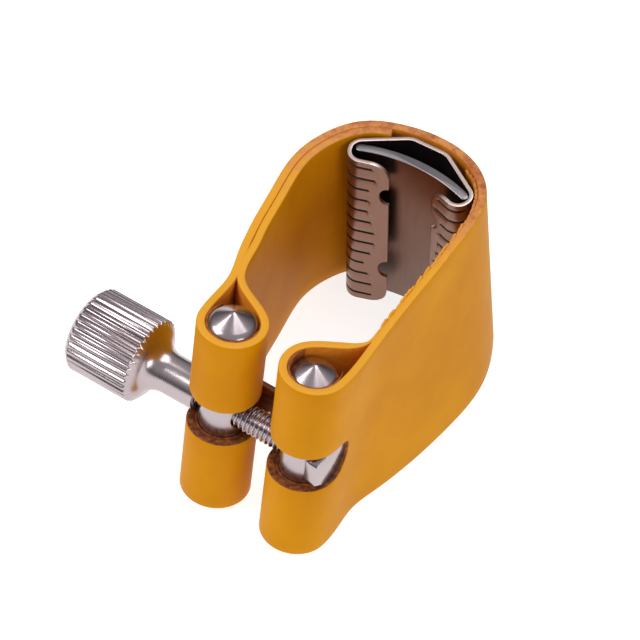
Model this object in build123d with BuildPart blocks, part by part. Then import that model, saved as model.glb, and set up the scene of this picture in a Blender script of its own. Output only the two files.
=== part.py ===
from build123d import *
from math import atan, cos, hypot, radians, sin, sqrt
import os

# Leather saxophone ligature: a strap looped round two posts, drawn together by one
# bolt and thumb nut, with a sheet metal holder at the back for a sliding reed plate.
# Frame: origin on the mouthpiece axis at the strap's lower edge, +Z up that axis.
# The clamp is at the front (-Y), the thumb nut on the left (-X). Millimetres.

os.makedirs("parts", exist_ok=True)

# ---- strap ----
strap_height = 26.7
leather = 1.0  # one layer
left_flap = 0.95  # end of the strap, turned back and glued inside the left wall
right_flap = 0.4  # the other end, pared thin
half_width = 11.5  # outside of the walls at the upper edge
back_y = 17.3  # outside of the strap's back at the upper edge
flare_right = 3.1  # how far each wall stands further out at the lower edge
flare_left = 0.8
flare_back = 2.0

# ---- bolt ----
thread_r = 1.75
thread_play = 0.05
pitch = 0.6
head_flats = 5.5
head_thick = 1.8
head_seat = 1.85  # flat on the right post, from its axis
head_clear = 0.1
head_chamfer = 0.3

# ---- clamp ----
post_mid_x = 3.0
clamp_y = -21.0  # the bolt's axis
clamp_z = strap_height / 2 + 0.4
lean = 4.6  # degrees: the posts follow the strap's taper, lower ends forward
post_r = 2.8
dome_height = 1.3
post_edge = 0.45
left_post_rise = 1.6  # the left post's upper tip above the loops
right_post_rise = 0.5
lining = 0.25
loop_fit = 0.03  # between post, lining and loop
loop_gap = 2.88  # between the two loops
clamp_travel = 2.4  # how far the thumb nut can draw them together
rim_over = 0.05
rim_half = strap_height / 2 + rim_over  # loops' length either side of the bolt
neck_wall = 0.65
neck_r = thread_r + neck_wall  # thumb nut's neck
neck_clear = 0.25
slot_half = neck_r + neck_clear  # window through the loops for the bolt and the neck
slot_back = 2.8  # how far behind the bolt's axis the window reaches
lining_end = 35  # degrees past the sides
lining_inset = 0.15
neck_left = (-3.6, 6.0)  # where the layers close up, from the post's axis
neck_right = (2.95, 7.0)
apex_r = 0.3  # the pocket's narrow end
apex_inset = 1.5
loop_in_r = post_r + lining + 2 * loop_fit
loop_r = loop_in_r + leather
post_pitch = 2 * loop_r + loop_gap

# ---- thumb nut ----
knob_r = 5.2
knob_length = 8.6
neck_length = 7.6
neck_land = 1.2
knob_edge = 0.8
seat_gap = 0.08  # thumb nut's nose to the left post
bore_end = 2.2  # metal left past the blind bore
tip_room = clamp_travel + 0.6  # bolt's tip to the bore's end
ribs = 36
rib_depth = 0.3
rib_gap = 0.35

# ---- guard behind the bolt, in front of the mouthpiece ----
guard_thick = 0.7
guard_half = 2.6
guard_y = 2.95  # its front face, behind the bolt's axis
guard_clear = 0.33  # its end to the right loop when the clamp is closed
guard_seat = 0.03

# ---- reed plate and its holder ----
holder_x = 0.25
holder_turn = 3.6  # degrees: the right side sits further back
holder_lift = 0.55
holder_top = 0.15  # strap's upper edge to the holder's
holder_length = strap_height - holder_lift - holder_top
sheet = 0.45
holder_gap = 0.65
holder_back = leather + holder_gap + sheet / 2  # strap's outside to the holder's middle line
flat_half = 2.3
shoulder = (8.1, 3.75)  # half width and depth of the outer bend
channel = (7.25, 6.35)  # half width and depth of the inner bend
lip_reach_left = 4.95
lip_reach_right = 4.0
lip_rise = 1.4  # the lips slope back towards the plate
bend_r = 1.45
shoulder_r = 2.0
lip_corner = 2.0
notch_r = 0.85
plate_room = 1.2  # plate's side to the holder's shoulder
plate_half = shoulder[0] - plate_room
plate_thick = 1.1
plate_depth = 2.7  # from the holder's back to the plate's middle
plate_sag = 1.25
plate_edge = 0.25
plate_short = 0.35  # plate's length below the holder's
rivet_r = 1.1
rivet_head_r = 2.1
rivet_head = 0.45
rivet_stand = 0.3
rivet_pitch = 13.0


def post_plane(side):
    """Plane across a post at the bolt, with its normal up the post."""
    return Plane(
        origin=(post_mid_x + side * post_pitch / 2, clamp_y, clamp_z),
        x_dir=(1, 0, 0),
        z_dir=(0, sin(radians(lean)), cos(radians(lean))),
    )


def beside_post(side, spot, z):
    """Point at height z on the line up the strap that starts at spot beside a post."""
    tilt = radians(lean)
    along = (z - clamp_z + spot[1] * sin(tilt)) / cos(tilt)
    return (
        post_mid_x + side * post_pitch / 2 + spot[0],
        clamp_y + spot[1] * cos(tilt) + along * sin(tilt),
    )


# the strap's layers at the necks, from the post's axis
left_thick = leather + left_flap
right_thick = leather + right_flap
left_neck_out = (neck_left[0] - left_thick / 2, neck_left[1] - 0.1)
left_neck_in = (neck_left[0] + left_thick / 2, neck_left[1] + 0.1)
right_neck_out = (neck_right[0] + right_thick / 2, neck_right[1] - 0.05)
right_neck_in = (neck_right[0] - right_thick / 2, neck_right[1] + 0.05)


def wall_points(z):
    """Outside of the strap at height z: the right wall and the back, then the left wall."""
    low = 1 - z / strap_height
    right = half_width + flare_right * low
    left = -half_width - flare_left * low
    back = back_y + flare_back * low
    seam = (-4.0 - 0.5 * low, back - 0.95)
    right_wall = [
        beside_post(1, right_neck_out, z),
        (right + 0.3 - 1.1 * low, -6.0 - 1.0 * low),
        (right, 1.0),
        (right - 0.35, back - 10.6),
        (right - 1.6 - 0.9 * low, back - 4.6 - 0.5 * low),
        (right - 4.6 - 0.5 * low, back - 1.4 - 0.3 * low),
        (2.0, back),
        seam,
    ]
    left_wall = [
        seam,
        (left + 3.5, back - 3.2),
        (left + 0.9, back - 7.4),
        (left + 0.0, back - 12.2),
        (left + 0.9, back - 18.2),
        (left + 2.2, back - 24.4 - 0.6 * low),
        beside_post(-1, left_neck_out, z),
    ]
    return right_wall, left_wall


def inside(points, thicks, first, last):
    """Inside of a wall: each outside point moved square to the wall by its thickness."""
    found = []
    run_of_points = [first, *points, last]
    for i, (point, thick) in enumerate(zip(points, thicks)):
        before = run_of_points[i]
        after = run_of_points[i + 2]
        dx, dy = after[0] - before[0], after[1] - before[1]
        run = hypot(dx, dy)
        found.append((point[0] - dy / run * thick, point[1] + dx / run * thick))
    return found


def wall_section(z, outer, inner):
    """Section of a wall at height z, between its outside and its inside."""
    with BuildSketch(Plane.XY.offset(z)) as section:
        with BuildLine():
            outside_edge = Spline(*outer)
            inside_edge = Spline(*inner)
            Line(outside_edge @ 0, inside_edge @ 0)
            Line(outside_edge @ 1, inside_edge @ 1)
        make_face()
    return section.sketch


def right_section(z):
    """The right wall has two layers, and the back one."""
    outer, beyond = wall_points(z)
    thicks = [right_thick] * 4 + [leather] * 4
    inner = inside(outer, thicks, outer[0], beyond[1])
    inner[0] = beside_post(1, right_neck_in, z)
    return wall_section(z, outer, inner)


def left_section(z):
    """The left wall has two layers all the way."""
    beyond, outer = wall_points(z)
    inner = inside(outer, [left_thick] * len(outer), beyond[-2], outer[-1])
    inner[-1] = beside_post(-1, left_neck_in, z)
    return wall_section(z, outer, inner)


def loop_section(side, ends):
    """Outside of a loop: a teardrop round the post, closing on the wall's end."""
    with BuildSketch(post_plane(side)) as section:
        with BuildLine():
            CenterArc((0, 0), loop_r, 0, 360)
            Line(*ends)
        make_hull()
    return section.sketch


def pocket_section(side, apex):
    """Inside of a loop: room for the post, closing on a small round apex."""
    with BuildSketch(post_plane(side)) as section:
        with BuildLine():
            CenterArc((0, 0), loop_in_r, 0, 360)
            CenterArc(apex, apex_r, 0, 360)
        make_hull()
    return section.sketch


def window_section(side):
    """Window through a loop for the bolt, seen along the bolt."""
    across = post_plane(side)
    with BuildSketch(Plane(across.origin, x_dir=across.y_dir, z_dir=(1, 0, 0))) as section:
        with Locations(((slot_back - loop_r - 1) / 2, 0)):
            Rectangle(slot_back + loop_r + 1, 2 * slot_half)
    return section.sketch


left_apex = (neck_left[0] + 0.4, neck_left[1] - apex_inset)
right_apex = (neck_right[0] - 0.2, neck_right[1] - apex_inset)
head_plane = Plane(
    origin=(post_mid_x + post_pitch / 2 + head_seat, clamp_y, clamp_z),
    x_dir=post_plane(1).y_dir,
    z_dir=(1, 0, 0),
)

holder_tilt = atan(flare_back / strap_height)
holder_plane = Plane(
    origin=(holder_x, back_y + flare_back - holder_back, holder_lift),
    x_dir=(1, 0, 0),
    z_dir=(0, -sin(holder_tilt), cos(holder_tilt)),
).rotated((0, 0, holder_turn))
rivet_plane = Plane(
    origin=holder_plane.origin + holder_plane.z_dir * holder_length / 2,
    x_dir=holder_plane.x_dir,
    z_dir=holder_plane.y_dir,
)
rivet_spots = ((0, -rivet_pitch / 2), (0, rivet_pitch / 2))


def head_section(clear):
    """The bolt's head, with clear all round it."""
    with BuildSketch(head_plane) as section:
        RegularPolygon(head_flats / 2 + clear, 6, major_radius=False, rotation=30)
    return section.sketch


def rivet_section(radius):
    """Both rivets' shanks or heads, on the holder's middle line."""
    with BuildSketch(rivet_plane) as section:
        with Locations(*rivet_spots):
            Circle(radius)
    return section.sketch


# ---- strap: the right loop, the right wall and the back ----
with BuildPart() as strap_right:
    loft([right_section(0), right_section(strap_height)], ruled=True)
    extrude(loop_section(1, (right_neck_out, right_neck_in)), amount=rim_half, both=True)
    extrude(pocket_section(1, right_apex), amount=rim_half + 1, both=True, mode=Mode.SUBTRACT)
    extrude(window_section(1), amount=loop_r + 1, both=True, mode=Mode.SUBTRACT)
    extrude(head_section(head_clear), amount=head_thick + leather, mode=Mode.SUBTRACT)
    extrude(rivet_section(rivet_r), amount=holder_back + leather, mode=Mode.SUBTRACT)
    split(bisect_by=Plane.XY, keep=Keep.TOP)
strap_right.part.label = "strap_right"

# ---- strap: the left wall, which bends as the clamp closes ----
with BuildPart() as strap_left_wall:
    loft([left_section(0), left_section(strap_height)], ruled=True)
strap_left_wall.part.label = "strap_left_wall"

# ---- strap: the left loop ----
with BuildPart() as strap_left_loop:
    extrude(loop_section(-1, (left_neck_out, left_neck_in)), amount=rim_half, both=True)
    extrude(pocket_section(-1, left_apex), amount=rim_half + 1, both=True, mode=Mode.SUBTRACT)
    extrude(window_section(-1), amount=loop_r + 1, both=True, mode=Mode.SUBTRACT)
    split(bisect_by=Plane.XY, keep=Keep.TOP)
strap_left_loop.part.label = "strap_left_loop"


def lining_section(side):
    """C-shaped strip inside the front of a loop, open towards the wall."""
    middle_r = loop_in_r - loop_fit - lining / 2
    with BuildSketch(post_plane(side)) as section:
        with BuildLine() as bend:
            CenterArc((0, 0), middle_r, lining_end, -180 - 2 * lining_end)
        trace(line_width=lining)
    return section.sketch


# ---- linings: a thin strip inside each loop, cut away at the window ----
with BuildPart() as left_loop_lining:
    extrude(lining_section(-1), amount=rim_half - lining_inset, both=True)
    extrude(window_section(-1), amount=loop_r + 1, both=True, mode=Mode.SUBTRACT)
left_loop_lining.part.label = "left_loop_lining"

with BuildPart() as right_loop_lining:
    extrude(lining_section(1), amount=rim_half - lining_inset, both=True)
    extrude(window_section(1), amount=loop_r + 1, both=True, mode=Mode.SUBTRACT)
    extrude(head_section(head_clear), amount=head_thick + leather, mode=Mode.SUBTRACT)
right_loop_lining.part.label = "right_loop_lining"


def post_section(side):
    """Half section of a post: a plain bar with a low pointed dome at each end."""
    upright = post_plane(side)
    tip = rim_half + (left_post_rise if side < 0 else right_post_rise)
    shoulder_z = tip - dome_height
    low_shoulder_z = rim_half - dome_height
    with BuildSketch(Plane(upright.origin, x_dir=(1, 0, 0), z_dir=-upright.y_dir)) as section:
        with BuildLine():
            Polyline(
                (0, tip),
                (post_r - post_edge, shoulder_z),
                (post_r, shoulder_z - post_edge),
                (post_r, -low_shoulder_z + post_edge),
                (post_r - post_edge, -low_shoulder_z),
                (0, -rim_half),
                close=True,
            )
        make_face()
    return section.sketch


bolt_hole_r = thread_r + thread_play
across_bolt = Plane((post_mid_x, clamp_y, clamp_z), x_dir=post_plane(1).y_dir, z_dir=(1, 0, 0))

# ---- posts: each has a cross hole, and the right one a flat for the bolt's head ----
with BuildPart() as left_post:
    revolve(post_section(-1), axis=Axis(post_plane(-1).origin, post_plane(-1).z_dir))
    with BuildSketch(across_bolt):
        Circle(bolt_hole_r)
    extrude(amount=post_pitch, both=True, mode=Mode.SUBTRACT)
left_post.part.label = "left_post"

with BuildPart() as right_post:
    revolve(post_section(1), axis=Axis(post_plane(1).origin, post_plane(1).z_dir))
    with BuildSketch(across_bolt):
        Circle(bolt_hole_r)
    extrude(amount=post_pitch, both=True, mode=Mode.SUBTRACT)
    with BuildSketch(head_plane):
        Rectangle(3 * post_r, head_flats / cos(radians(30)) + 2 * head_clear)
    extrude(amount=post_r, mode=Mode.SUBTRACT)
right_post.part.label = "right_post"

# ---- bolt: a plain hexagon head on the right post, its thread through both posts ----
left_seat_x = post_mid_x - post_pitch / 2 - post_r - seat_gap
knob_outer_x = left_seat_x - neck_length - knob_length
bore_end_x = knob_outer_x + bore_end
bolt_tip_x = bore_end_x + tip_room
head_x = post_mid_x + post_pitch / 2 + head_seat

with BuildPart() as clamp_bolt:
    extrude(head_section(0), amount=head_thick)
    chamfer(faces().sort_by(Axis.X)[-1].edges(), head_chamfer)
    with BuildSketch(head_plane):
        Circle(thread_r)
    extrude(amount=bolt_tip_x - head_x)
    chamfer(faces().sort_by(Axis.X)[0].edges(), pitch / 2)
clamp_bolt.part.label = "clamp_bolt"

# ---- thumb nut: a knurled head on a long flared neck that bears on the left post ----
knob_inner_x = knob_outer_x + knob_length
with BuildPart() as thumb_nut:
    with BuildSketch(Plane((0, clamp_y, clamp_z), x_dir=(1, 0, 0), z_dir=(0, -1, 0))):
        with BuildLine():
            nose = Line((left_seat_x, 0), (left_seat_x, neck_r))
            land = Line(nose @ 1, (left_seat_x - neck_land, neck_r))
            flare = Spline(
                land @ 1,
                (knob_inner_x + 0.45 * neck_length, neck_r + 0.25),
                (knob_inner_x, knob_r - 2 * knob_edge),
                tangents=((-1, 0), (-0.75, 1)),
            )
            Polyline(
                flare @ 1,
                (knob_inner_x, knob_r - knob_edge / 2),
                (knob_inner_x - knob_edge / 2, knob_r),
                (knob_outer_x + knob_edge, knob_r),
                (knob_outer_x, knob_r - knob_edge),
                (knob_outer_x, 0),
                nose @ 0,
            )
        make_face()
    revolve(axis=Axis((0, clamp_y, clamp_z), (1, 0, 0)))
    with BuildSketch(Plane((left_seat_x, clamp_y, clamp_z), x_dir=(0, 1, 0), z_dir=(-1, 0, 0))):
        Circle(bolt_hole_r)
    extrude(amount=left_seat_x - bore_end_x, mode=Mode.SUBTRACT)
    with BuildSketch(Plane((knob_outer_x, clamp_y, clamp_z), x_dir=(0, 1, 0), z_dir=(1, 0, 0))):
        with PolarLocations(knob_r, ribs):
            Rectangle(2 * rib_depth, rib_gap, rotation=0)
    extrude(amount=knob_length, mode=Mode.SUBTRACT)
thumb_nut.part.label = "thumb_nut"

# ---- guard: a brown leather tongue behind the bolt, glued to the left loop ----
guard_start = -post_pitch / 2
right_loop_start = post_pitch / 2 - sqrt(loop_r**2 - guard_y**2)
guard_end = right_loop_start - clamp_travel - guard_clear
with BuildPart() as bolt_guard:
    with BuildSketch(Plane(across_bolt.origin, x_dir=(1, 0, 0), z_dir=post_plane(1).z_dir)):
        with Locations(((guard_start + guard_end) / 2, guard_y + guard_thick / 2)):
            Rectangle(guard_end - guard_start, guard_thick)
    extrude(amount=guard_half, both=True)
    with BuildSketch(post_plane(-1)):
        Circle(loop_r + guard_seat)
    extrude(amount=guard_half, both=True, mode=Mode.SUBTRACT)
bolt_guard.part.label = "bolt_guard"

# ---- holder for the reed plate: bent sheet, its two sides curled into channels ----
left_lip = -shoulder[0] + bend_r / 2 + lip_reach_left
right_lip = shoulder[0] - bend_r / 2 - lip_reach_right
lip_y = lip_rise - channel[1]


def holder_line():
    """Middle line of the bent sheet, from the left lip round the back to the right."""
    return FilletPolyline(
        (left_lip, lip_y),
        (-channel[0], -channel[1]),
        (-shoulder[0], -shoulder[1]),
        (-flat_half, 0),
        (flat_half, 0),
        (shoulder[0], -shoulder[1]),
        (channel[0], -channel[1]),
        (right_lip, lip_y),
        radius=[bend_r, bend_r, shoulder_r, shoulder_r, bend_r, bend_r],
    )


with BuildPart() as plate_holder:
    with BuildSketch(holder_plane):
        with BuildLine():
            bend = holder_line()
        trace(bend, line_width=sheet)
    extrude(amount=holder_length)
    lip_front = Plane(holder_plane.origin, x_dir=holder_plane.x_dir, z_dir=holder_plane.y_dir)
    with BuildSketch(lip_front.offset(-channel[1] - 1)):
        for z in (-holder_length / 4, -3 * holder_length / 4):
            for x in (left_lip, right_lip):
                with Locations((x, z)):
                    Circle(notch_r)
    extrude(amount=channel[1] - 2, mode=Mode.SUBTRACT)
    for x in (left_lip, right_lip):
        tip = edges().filter_by(lambda e: e.length < 2 * sheet)
        corners = tip.filter_by(lambda e: abs(holder_plane.to_local_coords(e.center()).X - x) < sheet)
        fillet(corners, lip_corner)
    extrude(rivet_section(rivet_r), amount=2 * sheet, both=True, mode=Mode.SUBTRACT)
plate_holder.part.label = "plate_holder"

# ---- reed plate: a curved strip that slides in the holder's channels ----
with BuildPart() as reed_plate:
    with BuildSketch(holder_plane):
        with BuildLine():
            bow = ThreePointArc(
                (-plate_half, -plate_depth - plate_sag),
                (0, -plate_depth),
                (plate_half, -plate_depth - plate_sag),
            )
        trace(bow, line_width=plate_thick)
    extrude(amount=holder_length - plate_short)
    fillet(edges().filter_by(Axis(holder_plane.origin, holder_plane.z_dir)), plate_edge)
reed_plate.part.label = "reed_plate"

# ---- rivets: two, through the strap's back and the holder ----
rivet_out = holder_back + rivet_stand
with BuildPart() as holder_rivets:
    extrude(rivet_section(rivet_r), amount=rivet_out)
    extrude(rivet_section(rivet_r), amount=-sheet)
    extrude(rivet_section(rivet_head_r), amount=rivet_out + rivet_head)
    extrude(rivet_section(rivet_head_r), amount=rivet_out, mode=Mode.SUBTRACT)
    extrude(rivet_section(rivet_r), amount=rivet_out)
    extrude(rivet_section(rivet_head_r - rivet_head), amount=-sheet / 2 - rivet_head)
    extrude(rivet_section(rivet_head_r), amount=-sheet / 2, mode=Mode.SUBTRACT)
    extrude(rivet_section(rivet_r), amount=-sheet)
holder_rivets.part.label = "holder_rivets"

pieces = (
    strap_right,
    strap_left_wall,
    strap_left_loop,
    left_loop_lining,
    right_loop_lining,
    left_post,
    right_post,
    clamp_bolt,
    thumb_nut,
    bolt_guard,
    plate_holder,
    reed_plate,
    holder_rivets,
)
for piece in pieces:
    export_step(piece.part, f"parts/{piece.part.label}.step")
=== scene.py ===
from math import acos, atan, atan2, cos, inf, pi, radians, sin, sqrt, tan

import bpy
import numpy as np
from mathutils import Matrix, Vector


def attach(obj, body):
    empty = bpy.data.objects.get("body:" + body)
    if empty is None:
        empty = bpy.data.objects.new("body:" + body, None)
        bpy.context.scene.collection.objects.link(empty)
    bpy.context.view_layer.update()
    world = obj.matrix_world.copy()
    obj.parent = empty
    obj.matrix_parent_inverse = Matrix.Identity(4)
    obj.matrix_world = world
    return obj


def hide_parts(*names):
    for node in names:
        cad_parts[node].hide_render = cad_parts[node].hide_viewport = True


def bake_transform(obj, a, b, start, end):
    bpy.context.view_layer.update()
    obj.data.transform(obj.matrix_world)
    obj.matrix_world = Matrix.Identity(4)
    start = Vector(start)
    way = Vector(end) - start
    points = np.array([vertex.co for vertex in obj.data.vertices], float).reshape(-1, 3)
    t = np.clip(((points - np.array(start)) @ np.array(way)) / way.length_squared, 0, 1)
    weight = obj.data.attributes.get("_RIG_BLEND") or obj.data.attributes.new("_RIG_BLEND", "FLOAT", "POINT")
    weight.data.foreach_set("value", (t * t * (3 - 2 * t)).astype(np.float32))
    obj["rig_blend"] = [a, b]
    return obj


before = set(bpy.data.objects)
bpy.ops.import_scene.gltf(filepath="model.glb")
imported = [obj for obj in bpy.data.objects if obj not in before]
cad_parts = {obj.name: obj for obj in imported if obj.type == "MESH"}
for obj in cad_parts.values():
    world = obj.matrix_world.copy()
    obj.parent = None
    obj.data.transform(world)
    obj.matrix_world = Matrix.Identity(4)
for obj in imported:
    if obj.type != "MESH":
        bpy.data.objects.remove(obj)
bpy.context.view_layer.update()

# A leather saxophone ligature. A strip of leather is looped round two posts, and one
# bolt with a thumb nut draws them together. A bent sheet holder at the back takes a
# sliding reed plate. Sizes are in millimetres, and become metres when a mesh is made.
MM = 0.001

# ---- camera and studio ----
# A long lens from the front right, well above the strap, with a small roll. Three soft
# boxes and a pale room light it over a white floor, which glows a little by itself.
camera_data = bpy.data.cameras.new("studio_camera")
camera_data.sensor_width = 36.0
camera_data.lens = 268.96
camera_data.clip_start = 0.01
camera = bpy.data.objects.new("studio_camera", camera_data)
bpy.context.scene.collection.objects.link(camera)
camera_at = Vector((182.663, -305.472, 434.701)) * MM
looks_along = Vector((-0.334013, 0.548336, -0.766657))
upwards = Vector((-0.456721, 0.617354, 0.640531))
camera_turn = Matrix((looks_along.cross(upwards), upwards, -looks_along)).transposed()
camera.matrix_world = Matrix.Translation(camera_at) @ camera_turn.to_4x4()
bpy.context.scene.camera = camera
bpy.context.scene.view_settings.view_transform = "Standard"


def linear(code):
    """An sRGB hex colour as the linear colour that shaders and lights take."""
    parts = [int(code[i : i + 2], 16) / 255 for i in (1, 3, 5)]
    return [c / 12.92 if c <= 0.04045 else ((c + 0.055) / 1.055) ** 2.4 for c in parts] + [1.0]


def add_node(tree, kind, settings=None, links=None):
    """Adds a node, with its own fields or input values set, and its inputs linked."""
    node = tree.nodes.new(kind)
    for key, value in (settings or {}).items():
        if isinstance(key, int) or key in node.inputs:
            node.inputs[key].default_value = value
        else:
            setattr(node, key, value)
    for key, source in (links or {}).items():
        tree.links.new(source, node.inputs[key])
    return node


world = bpy.data.worlds.new("studio")
world.use_nodes = True
bpy.context.scene.world = world
sky = world.node_tree
direction = add_node(sky, "ShaderNodeTexCoord")
height = add_node(sky, "ShaderNodeSeparateXYZ", links={"Vector": direction.outputs["Generated"]})
room = add_node(sky, "ShaderNodeValToRGB", links={"Fac": height.outputs["Z"]})
room.color_ramp.elements[0].position = 0.0
room.color_ramp.elements[0].color = linear("#1E1A1C")  # dark below, for contrast in metal
room.color_ramp.elements[1].position = 0.6
room.color_ramp.elements[1].color = linear("#F4F2F4")
above_horizon = room.color_ramp.elements.new(0.2)
above_horizon.color = linear("#8A8286")
sky.links.new(room.outputs["Color"], sky.nodes["Background"].inputs["Color"])
sky.nodes["Background"].inputs["Strength"].default_value = 0.5


def soft_box(name, at, size, power):
    """A square studio light, in millimetres, that faces the object."""
    data = bpy.data.lights.new(name, "AREA")
    data.size = size * MM
    data.energy = power
    light = bpy.data.objects.new(name, data)
    light.location = Vector(at) * MM
    light.rotation_euler = (-light.location).to_track_quat("-Z", "Y").to_euler()
    bpy.context.scene.collection.objects.link(light)


soft_box("key_light", (-260, -200, 330), 220, 1.0)
soft_box("top_light", (60, 120, 420), 300, 0.75)
soft_box("side_light", (360, -160, 160), 160, 0.35)

floor_half = 2500
floor_mesh = bpy.data.meshes.new("floor")
floor_corners = [(-1, -1, 0), (1, -1, 0), (1, 1, 0), (-1, 1, 0)]
floor_mesh.from_pydata([Vector(c) * floor_half * MM for c in floor_corners], [], [(0, 1, 2, 3)])
floor = bpy.data.objects.new("floor", floor_mesh)
bpy.context.scene.collection.objects.link(floor)
floor_paint = bpy.data.materials.new("matt white paint")
floor_paint.use_nodes = True
floor_shader = floor_paint.node_tree.nodes["Principled BSDF"]
floor_shader.inputs["Base Color"].default_value = linear("#B8B8B8")
floor_shader.inputs["Roughness"].default_value = 0.9
floor_shader.inputs["Emission Color"].default_value = linear("#FFFFFF")
floor_shader.inputs["Emission Strength"].default_value = 0.8
floor_mesh.materials.append(floor_paint)

# ---- strap ----
# One strip of golden leather, coated on its outer face and raw on the other. Each end
# goes round a post and is glued back inside the wall, so both walls have two layers.
# A slot through each loop lets the bolt pass.
strap_height = 26.7
leather = 1.0
left_flap = 0.95  # the strip's one end
right_flap = 0.4  # the other end, pared thin
glue = 0.03
half_width = 11.5  # outside of the walls at the upper edge
back_y = 17.3
flare_right = 3.1  # how far each wall stands further out at the lower edge
flare_left = 0.8
flare_back = 2.0
post_pitch = 11.1
post_mid_x = 3.0
clamp_y = -21.0
clamp_z = 13.75
lean = radians(4.6)
post_r = 2.8
lining = 0.25
loop_fit = 0.03
point_rise = 0.9  # the slots' points lie above their middle
chip_depth = 0.7
rim_half = 13.4
slot_half = 2.65
slot_back = 2.8
neck_left = (-3.6, 6.0)  # where both layers part for a loop, from the post's middle
neck_right = (2.95, 7.0)
neck_skew_left = 0.1  # the outer layer parts a little nearer to the post
neck_skew_right = 0.05
left_loop_turns = (56, 36, 12, -15, -42, -70, -98, -126, -154, -176)  # degrees round a post
right_loop_turns = (2, -20, -45, -70, -98, -126, -154, -182, -206, -226)
left_flap_end_x = -4.9
right_flap_end_x = 5.3
column_step = 0.3
wall_trim = 4  # wall points left out beside each neck
wall_skip = 3  # every third wall point shapes the strip
loop_in_r = post_r + lining + 2 * loop_fit
loop_mid_r = loop_in_r + leather / 2
across_lean = np.array((0, cos(lean), -sin(lean)))
up_lean = np.array((0, sin(lean), cos(lean)))


def post_point(side, x, y, t):
    """Point beside a post: x and y square to it, t up it, all from the bolt's axis."""
    axis_point = np.array((post_mid_x + side * post_pitch / 2, clamp_y, clamp_z))
    return axis_point + np.array((x, 0, 0)) + across_lean * y + up_lean * t


def smooth_line(points, knots, at):
    """Natural cubic spline through points at knots, read at the values at."""
    points, knots = np.asarray(points, float), np.asarray(knots, float)
    n = len(points)
    gaps = np.diff(knots)
    system = np.eye(n)
    slopes = np.diff(points, axis=0) / gaps[:, None]
    wanted = np.zeros_like(points)
    for i in range(1, n - 1):
        system[i, i - 1 : i + 2] = gaps[i - 1], 2 * (gaps[i - 1] + gaps[i]), gaps[i]
        wanted[i] = 3 * (slopes[i] - slopes[i - 1])
    bend = np.linalg.solve(system, wanted)
    i = np.clip(np.searchsorted(knots, at, side="right") - 1, 0, n - 2)
    step = (np.asarray(at) - knots[i])[:, None]
    first = slopes[i] - gaps[i, None] * (2 * bend[i] + bend[i + 1]) / 3
    third = (bend[i + 1] - bend[i]) / (3 * gaps[i, None])
    return points[i] + step * (first + step * (bend[i] + step * third))


def lengths(points):
    """Distance along a line of points, from its first point to each."""
    return np.concatenate(([0], np.cumsum(np.linalg.norm(np.diff(points, axis=0), axis=1))))


def wall_outside(level, count=90):
    """Outside of the walls at the lower edge (level 0) or upper edge (1), and its inward side."""
    low = 1 - level
    right = half_width + flare_right * low
    left = -half_width - flare_left * low
    back = back_y + flare_back * low
    t = (level * 2 - 1) * rim_half
    right_neck = (neck_right[0] + (leather + right_flap) / 2, neck_right[1] - neck_skew_right)
    left_neck = (neck_left[0] - (leather + left_flap) / 2, neck_left[1] - neck_skew_left)
    plan = [
        post_point(1, *right_neck, t)[:2],
        (right + 0.3 - 1.1 * low, -6.0 - 1.0 * low),
        (right, 1.0),
        (right - 0.35, back - 10.6),
        (right - 1.6 - 0.9 * low, back - 4.6 - 0.5 * low),
        (right - 4.6 - 0.5 * low, back - 1.4 - 0.3 * low),
        (2.0, back),
        (-4.0 - 0.5 * low, back - 0.95),
        (left + 3.5, back - 3.2),
        (left + 0.9, back - 7.4),
        (left + 0.0, back - 12.2),
        (left + 0.9, back - 18.2),
        (left + 2.2, back - 24.4 - 0.6 * low),
        post_point(-1, *left_neck, t)[:2],
    ]
    knots = lengths(plan)
    line = smooth_line(plan, knots, np.linspace(0, knots[-1], count))
    run = np.gradient(line, axis=0)
    run /= np.linalg.norm(run, axis=1)[:, None]
    inward = np.column_stack((-run[:, 1], run[:, 0]))
    return line, inward


upper_wall = wall_outside(1)[0]
back_i = int(np.argmax(upper_wall[:, 1]))
flap_start = back_i + int(np.argmax(upper_wall[back_i:, 0] < left_flap_end_x))
flap_end = int(np.argmax((upper_wall[:, 0] < right_flap_end_x) & (upper_wall[:, 1] > 0)))
left_flap_order = range(flap_start, len(upper_wall) - wall_trim, wall_skip)
whole_order = range(len(upper_wall) - 1 - wall_trim, wall_trim - 1, -wall_skip)
right_flap_order = range(wall_trim, flap_end, wall_skip)


def strip_points(level):
    """Middle line of the strip, from the left flap's end to the right flap's."""
    line, inward = wall_outside(level)
    z = strap_height * level
    t = (level * 2 - 1) * rim_half

    def layer(depth, order):
        return [(*(line[i] + inward[i] * depth), z) for i in order]

    def round_post(side, angles):
        turns = [radians(a) for a in angles]
        return [post_point(side, loop_mid_r * cos(a), loop_mid_r * sin(a), t) for a in turns]

    half_left = (leather + left_flap + glue) / 2
    half_right = (leather + right_flap + glue) / 2
    return np.array([
        *layer(leather + glue + left_flap / 2, left_flap_order),
        post_point(-1, neck_left[0] + half_left - left_flap / 2, neck_left[1] + neck_skew_left, t),
        *round_post(-1, left_loop_turns),
        post_point(-1, neck_left[0] - half_left + leather / 2, neck_left[1] - neck_skew_left, t),
        *layer(leather / 2, whole_order),
        post_point(1, neck_right[0] + half_right - leather / 2, neck_right[1] - neck_skew_right, t),
        *round_post(1, right_loop_turns),
        post_point(1, neck_right[0] - half_right + right_flap / 2, neck_right[1] + neck_skew_right, t),
        *layer(leather + glue + right_flap / 2, right_flap_order),
    ])


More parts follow.
